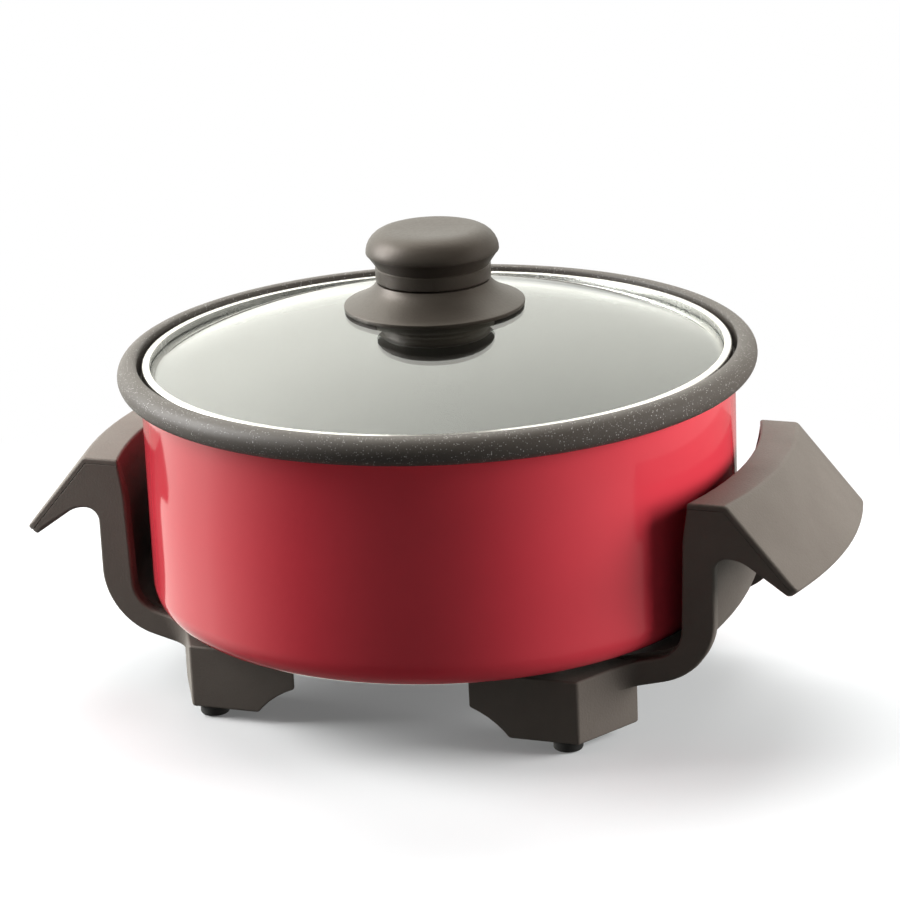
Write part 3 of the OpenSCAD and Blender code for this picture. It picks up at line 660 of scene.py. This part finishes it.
def remap(tree, value, low, high, to_low, to_high, smooth=False):
    """Carries a value from one range to another; the ends are numbers or sockets."""
    node = tree.nodes.new("ShaderNodeMapRange")
    if smooth:
        node.interpolation_type = "SMOOTHSTEP"
    for label, number in (("From Min", low), ("From Max", high), ("To Min", to_low), ("To Max", to_high)):
        if isinstance(number, (int, float)):
            node.inputs[label].default_value = number
        else:
            tree.links.new(number, node.inputs[label])
    tree.links.new(value, node.inputs["Value"])
    return node.outputs["Result"]


def math_node(tree, operation, a, b):
    node = tree.nodes.new("ShaderNodeMath")
    node.operation = operation
    for socket, value in zip(node.inputs, (a, b)):
        if isinstance(value, (int, float)):
            socket.default_value = value
        else:
            tree.links.new(value, socket)
    return node.outputs["Value"]


def mix_colours(tree, share, first, second):
    """Blends two colours, each of them a socket or three numbers."""
    node = tree.nodes.new("ShaderNodeMix")
    node.data_type = "RGBA"
    tree.links.new(share, node.inputs[0])
    for socket, colour in ((node.inputs[MIX_A], first), (node.inputs[MIX_B], second)):
        if isinstance(colour, tuple):
            socket.default_value = (*colour, 1)
        else:
            tree.links.new(colour, socket)
    return node.outputs[MIX_OUT]


# %% Node groups
VECTOR, COLOUR, NUMBER = "NodeSocketVector", "NodeSocketColor", "NodeSocketFloat"


def new_group(name, inputs, outputs):
    """An empty node group with named sockets, and its two end nodes."""
    group = bpy.data.node_groups.new(name, "ShaderNodeTree")
    group.interface.new_socket("Vector", in_out="INPUT", socket_type=VECTOR)
    for label, kind, value in inputs:
        group.interface.new_socket(label, in_out="INPUT", socket_type=kind).default_value = value
    for label, kind in outputs:
        group.interface.new_socket(label, in_out="OUTPUT", socket_type=kind)
    return group, group.nodes.new("NodeGroupInput").outputs, group.nodes.new("NodeGroupOutput").inputs


mottle, given, result = new_group("mottle", [
    ("Dark", COLOUR, (0, 0, 0, 1)), ("Light", COLOUR, (1, 1, 1, 1)), ("Scale", NUMBER, 40.0)], [("Color", COLOUR)])
cloud = noise(mottle, given["Vector"], given["Scale"], detail=5, roughness=0.6)
share = remap(mottle, cloud, 0.3, 0.7, 0.0, 1.0)
mottle.links.new(mix_colours(mottle, share, given["Dark"], given["Light"]), result["Color"])

grain, given, result = new_group("grain", [
    ("Scale", NUMBER, 1500.0), ("Low", NUMBER, 0.4), ("High", NUMBER, 0.6)],
    [("Height", NUMBER), ("Roughness", NUMBER)])
pebble = noise(grain, given["Vector"], given["Scale"], detail=2)
patch = noise(grain, given["Vector"], 55.0, detail=4)
both = math_node(grain, "ADD", math_node(grain, "MULTIPLY", pebble, 0.5), math_node(grain, "MULTIPLY", patch, 0.5))
grain.links.new(pebble, result["Height"])
grain.links.new(remap(grain, both, 0.3, 0.7, given["Low"], given["High"]), result["Roughness"])

flecks, given, result = new_group("flecks", [
    ("Scale", NUMBER, 900.0), ("Size", NUMBER, 0.2), ("Share", NUMBER, 0.4)], [("Mask", NUMBER)])
cells = flecks.nodes.new("ShaderNodeTexVoronoi")
flecks.links.new(given["Vector"], cells.inputs["Vector"])
flecks.links.new(given["Scale"], cells.inputs["Scale"])
chance = flecks.nodes.new("ShaderNodeSeparateColor")
flecks.links.new(cells.outputs["Color"], chance.inputs["Color"])
dot = math_node(flecks, "LESS_THAN", cells.outputs["Distance"], given["Size"])
lit = math_node(flecks, "LESS_THAN", chance.outputs["Red"], given["Share"])
lit_dot = math_node(flecks, "MULTIPLY", dot, lit)
flecks.links.new(math_node(flecks, "MULTIPLY", lit_dot, chance.outputs["Green"]), result["Mask"])
print("node groups", [g.name for g in bpy.data.node_groups])

# %% [markdown]
# Each finish is one Principled shader. Its colour comes from the mottle group, its roughness and its fine relief from
# the grain group. A number that is the same all over is set on the shader itself, so an export can read it.


# %% Helpers for finishes
def place_group(tree, group, place, **values):
    """Puts a node group into a material, with its own values."""
    node = tree.nodes.new("ShaderNodeGroup")
    node.node_tree = group
    for label, value in values.items():
        node.inputs[label].default_value = value
    tree.links.new(place, node.inputs["Vector"])
    return node.outputs


def finish(name, dark, light, rough, mottle_scale, grain_scale, relief=0.0, sparkle=None, **plain):
    """A material from the node groups; plain holds the shader's sockets that are the same all over."""
    material = bpy.data.materials.new(name)
    material.use_nodes = True
    tree = material.node_tree
    shader = tree.nodes["Principled BSDF"]
    place = tree.nodes.new("ShaderNodeTexCoord").outputs["Object"]
    colour = place_group(tree, mottle, place, Dark=(*dark, 1), Light=(*light, 1), Scale=mottle_scale)["Color"]
    if sparkle:
        scale, size, share, bright = sparkle
        dots = place_group(tree, flecks, place, Scale=scale, Size=size, Share=share)
        colour = mix_colours(tree, dots["Mask"], colour, bright)
    tree.links.new(colour, shader.inputs["Base Color"])
    skin = place_group(tree, grain, place, Scale=grain_scale, Low=rough[0], High=rough[1])
    tree.links.new(skin["Roughness"], shader.inputs["Roughness"])
    if relief:
        bump = tree.nodes.new("ShaderNodeBump")
        bump.inputs["Strength"].default_value = 1.0
        bump.inputs["Distance"].default_value = relief * MM
        tree.links.new(skin["Height"], bump.inputs["Height"])
        tree.links.new(bump.outputs["Normal"], shader.inputs["Normal"])
    for label, value in plain.items():
        shader.inputs[label.replace("_", " ")].default_value = value
    return material


# %% Finishes of the pan, the plastic and the rubber
red_paint = finish("red_paint", (0.555, 0.040, 0.056), (0.590, 0.043, 0.061), (0.36, 0.44), 14, 300,
                   Specular_IOR_Level=0.0, Coat_Weight=0.9, Coat_Roughness=0.09)
speckled_coat = finish("speckled_coat", (0.050, 0.042, 0.036), (0.070, 0.060, 0.051), (0.42, 0.58), 2400, 2600,
                       relief=0.03, sparkle=(1700, 0.30, 0.30, (0.50, 0.49, 0.47)), Specular_IOR_Level=0.4)
inner_coat = finish("inner_coat", (0.036, 0.031, 0.027), (0.042, 0.036, 0.032), (0.48, 0.56), 25, 60,
                    Specular_IOR_Level=0.3)
bare_casting = finish("bare_casting", (0.36, 0.36, 0.35), (0.46, 0.46, 0.45), (0.42, 0.6), 60, 900,
                      relief=0.1, Metallic=1.0)
grey_plastic = finish("grained_grey_plastic", (0.094, 0.080, 0.069), (0.116, 0.100, 0.087), (0.48, 0.64), 30, 1250,
                      relief=0.10, Specular_IOR_Level=0.5, Specular_Tint=(1, 0.93, 0.85, 1))
knob_plastic = finish("satin_knob_plastic", (0.024, 0.019, 0.015), (0.030, 0.024, 0.019), (0.36, 0.46), 45, 900,
                      relief=0.05, Specular_IOR_Level=0.48, Specular_Tint=(1, 0.89, 0.80, 1))
rubber = finish("black_rubber", (0.012, 0.012, 0.012), (0.022, 0.021, 0.020), (0.6, 0.8), 90, 1800, relief=0.06)

# %% Finishes of the metal and the ceramic
polished = finish("polished_band", (0.78, 0.77, 0.75), (0.84, 0.83, 0.81), (0.20, 0.30), 25, 300, Metallic=1.0)
steel = finish("satin_steel", (0.50, 0.50, 0.49), (0.60, 0.60, 0.59), (0.25, 0.40), 120, 1200,
               relief=0.02, Metallic=1.0)
brass = finish("plain_brass", (0.62, 0.47, 0.20), (0.74, 0.58, 0.28), (0.25, 0.38), 150, 1200, Metallic=1.0)
ceramic = finish("unglazed_ceramic", (0.78, 0.76, 0.71), (0.87, 0.85, 0.81), (0.6, 0.75), 200, 1500, relief=0.05)

# %% [markdown]
# Clear glass is the same all over, so plain numbers make it. A lamp's light would be blocked by it, because a path
# tracer can't aim at a lamp through a bending surface. For those shadow rays alone the glass counts as a faint filter.

# %% Glass finish
clear_glass = bpy.data.materials.new("clear_lid_glass")
clear_glass.use_nodes = True
tree = clear_glass.node_tree
shader = tree.nodes["Principled BSDF"]
shader.inputs["Base Color"].default_value = (0.93, 0.97, 0.95, 1)
shader.inputs["Roughness"].default_value = 0.0
shader.inputs["IOR"].default_value = 1.52
shader.inputs["Transmission Weight"].default_value = 1.0
through = tree.nodes.new("ShaderNodeBsdfTransparent")
through.inputs["Color"].default_value = (0.88, 0.92, 0.90, 1)
choose = tree.nodes.new("ShaderNodeMixShader")
tree.links.new(tree.nodes.new("ShaderNodeLightPath").outputs["Is Shadow Ray"], choose.inputs[0])
tree.links.new(shader.outputs[0], choose.inputs[1])
tree.links.new(through.outputs[0], choose.inputs[2])
tree.links.new(choose.outputs[0], tree.nodes["Material Output"].inputs["Surface"])
print("finishes", [m.name for m in bpy.data.materials])

# %% [markdown]
# Now each piece takes its finish, rides on its body and stands for its CAD node. The pan has four finishes on one
# mesh: paint on the wall and the rounded foot, the speckled coat on the rim, a plainer coat inside, bare metal
# underneath.


# %% Dress the new pieces
def dress(piece, material, body, node):
    piece.data.materials.clear()
    piece.data.materials.append(material)
    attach(piece, body)
    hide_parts(node)


PAINT_TOP, BARE_R = 119.6, 88.0
RIM_COAT, BARE, INSIDE = 1, 2, 3
dress(pan, red_paint, "skillet", "pan")
for coat in (speckled_coat, bare_casting, inner_coat):
    pan.data.materials.append(coat)
for face in pan.data.polygons:
    middle = face.center / MM
    reach = sqrt(middle.x ** 2 + middle.y ** 2)
    if middle.z > PAINT_TOP:
        face.material_index = RIM_COAT
    elif middle.z > PAN_FOOT + 5 and reach < INNER_R + 1.5 and face.normal.z > -0.05:
        face.material_index = INSIDE
    elif middle.z < PAN_FOOT + 0.1 and reach < BARE_R:
        face.material_index = BARE
dress(glass, clear_glass, "lid", "lid_glass")
dress(band, polished, "lid", "lid_band")
dress(eyelet, polished, "lid", "vent_eyelet")
dress(knob_cap, knob_plastic, "lid", "knob_grip")
dress(knob_skirt, knob_plastic, "lid", "knob_skirt")
dress(handle_right, grey_plastic, "skillet", "handle_right")
dress(handle_left, grey_plastic, "skillet", "handle_left")
dress(cover, grey_plastic, "skillet", "grip_cover_right")
dress(cover_left, grey_plastic, "skillet", "grip_cover_left")
dress(pads, rubber, "skillet", "foot_pads")
print("pan materials", [m.name for m in pan.data.materials])

# %% [markdown]
# Screws, seals, the heater and the socket are seen little or not at all. Their CAD shapes are good enough, so they only
# get a finish.

# %% Finishes of the CAD pieces that stay
kept = {
    steel: ["grip_screws", "block_screws", "plate_screws", "guard_screws", "knob_washer", "knob_screw",
            "heating_element", "element_plate", "probe_well"],
    rubber: ["knob_seal", "base_seal"],
    brass: ["terminal_pins", "knob_insert"],
    ceramic: ["foot_spacers", "terminal_insulators"],
    bare_casting: ["heater_base"],
    grey_plastic: ["plug_guard"],
    knob_plastic: ["knob_base"],
}
for material, names in kept.items():
    for name in names:
        nodes[name].data.materials.clear()
        nodes[name].data.materials.append(material)
print(sum(len(names) for names in kept.values()), "CAD pieces keep their shape")

# %% [markdown]
# ## Floor, backdrop and light
# The photograph is a studio picture on white. Two soft lamps stand left and right of the pan, so the front of the body
# stays dark between two bright sides, and a large panel behind lights the rims from above. What the gloss and the glass
# mirror is the world: a white backdrop for the camera, and for mirrored rays a studio with a bright ceiling and two
# paler walls. The floor is a plain pale sheet. To the camera it fades to white away from the object, but it keeps the
# soft shadow under it.

# %% Floor
deselect()
bpy.ops.mesh.primitive_plane_add(size=8, location=(0, 0, -0.0003))
floor = bpy.context.object
floor.name = floor.data.name = "pale_floor"


def seen_ray(tree):
    """1 for rays that the eye follows, not after a matt bounce, and 1 for rays that a mirror or glass turned."""
    path = tree.nodes.new("ShaderNodeLightPath").outputs
    turned = math_node(tree, "MAXIMUM", path["Is Glossy Ray"], path["Is Transmission Ray"])
    clean = math_node(tree, "LESS_THAN", path["Diffuse Depth"], 0.5)
    return math_node(tree, "MULTIPLY", math_node(tree, "MAXIMUM", path["Is Camera Ray"], turned), clean), turned


sheet = bpy.data.materials.new("pale_sheet")
sheet.use_nodes = True
tree = sheet.node_tree
tree.nodes.clear()
seen, turned = seen_ray(tree)
span = tree.nodes.new("ShaderNodeVectorMath")
span.operation = "DISTANCE"
span.inputs[1].default_value = (-0.022, -0.032, 0)
tree.links.new(tree.nodes.new("ShaderNodeTexCoord").outputs["Object"], span.inputs[0])
whiter = remap(tree, span.outputs["Value"], 0.14, 0.38, 0.12, 1.0, smooth=True)
matt = tree.nodes.new("ShaderNodeBsdfDiffuse")
tree.links.new(mix_colours(tree, seen, (0.24, 0.24, 0.24), (0.845, 0.86, 0.86)), matt.inputs["Color"])
white = tree.nodes.new("ShaderNodeEmission")
mixed = tree.nodes.new("ShaderNodeMixShader")
tree.links.new(math_node(tree, "MULTIPLY", seen, whiter), mixed.inputs[0])
tree.links.new(matt.outputs[0], mixed.inputs[1])
tree.links.new(white.outputs[0], mixed.inputs[2])
surface = tree.nodes.new("ShaderNodeOutputMaterial")
tree.links.new(mixed.outputs[0], surface.inputs["Surface"])
floor.data.materials.append(sheet)
floor.visible_glossy = False
print("floor", floor.name, "with", len(tree.nodes), "nodes")


# %% World
def along(tree, vector, direction):
    """How far a ray points along a direction, from -1 to 1."""
    dot = tree.nodes.new("ShaderNodeVectorMath")
    dot.operation = "DOT_PRODUCT"
    dot.inputs[1].default_value = direction
    tree.links.new(vector, dot.inputs[0])
    return dot.outputs["Value"]


UP, TO_THE_RIGHT, TO_THE_FRONT = (0, 0, 1), (0.935, 0.355, 0), (0.355, -0.935, 0)
world = bpy.data.worlds.new("studio")
bpy.context.scene.world = world
world.use_nodes = True
tree = world.node_tree
sky = tree.nodes["Background"]
seen, turned = seen_ray(tree)
tree.links.new(mix_colours(tree, turned, (1, 1, 1), (1.0, 0.995, 0.92)), sky.inputs["Color"])
ray = tree.nodes.new("ShaderNodeTexCoord").outputs["Generated"]
height, across, front = (along(tree, ray, way) for way in (UP, TO_THE_RIGHT, TO_THE_FRONT))

ceiling = remap(tree, height, 0.1, 0.9, 1.25, 2.9, smooth=True)
ceiling = math_node(tree, "MULTIPLY", ceiling, remap(tree, across, -0.6, 0.6, 1.6, 0.66))
ceiling = math_node(tree, "MULTIPLY", ceiling, remap(tree, front, -0.3, 0.3, 1.0, 0.3, smooth=True))
left_glow = math_node(tree, "POWER", remap(tree, front, -0.25, 0.53, 1.0, 0.0), 1.5)
left_wall = remap(tree, left_glow, 0, 1, 0.07, 1.5)
right_wall = remap(tree, front, 0.45, 0.86, 0.45, 0.07)
below = remap(tree, across, -0.08, 0.08, left_wall, right_wall)
below = math_node(tree, "MULTIPLY", below, remap(tree, height, -0.72, -0.45, 0.12, 1.0))
studio = remap(tree, height, -0.06, 0.02, below, ceiling)
shown = remap(tree, turned, 0, 1, 1.0, studio)
tree.links.new(remap(tree, seen, 0, 1, 0.03, shown), sky.inputs["Strength"])
print("world", len(tree.nodes), "nodes")

# %% Lamps
CAMERA_SIDE = -69.2


def softbox(name, azimuth, height, distance, width, tall, power):
    """A soft rectangle of light, its azimuth in degrees to the right of the camera as seen from the object."""
    lamp = bpy.data.lights.new(name, "AREA")
    lamp.shape = "RECTANGLE"
    lamp.size, lamp.size_y, lamp.energy = width, tall, power
    holder = bpy.data.objects.new(name, lamp)
    bpy.context.scene.collection.objects.link(holder)
    side = radians(azimuth + CAMERA_SIDE)
    holder.location = (distance * cos(side), distance * sin(side), height)
    holder.rotation_euler = (Vector((0, 0, 0.08)) - holder.location).to_track_quat("-Z", "Y").to_euler()
    holder.visible_camera = False
    return holder


softbox("left_softbox", -98, 0.62, 1.1, 0.7, 1.0, 26)
right_softbox = softbox("right_softbox", 83, 0.32, 1.1, 0.6, 0.7, 22)
back_panel = softbox("back_panel", 180, 1.2, 1.0, 1.8, 1.2, 34)
for lamp in (right_softbox, back_panel):
    lamp.visible_glossy = lamp.visible_transmission = False
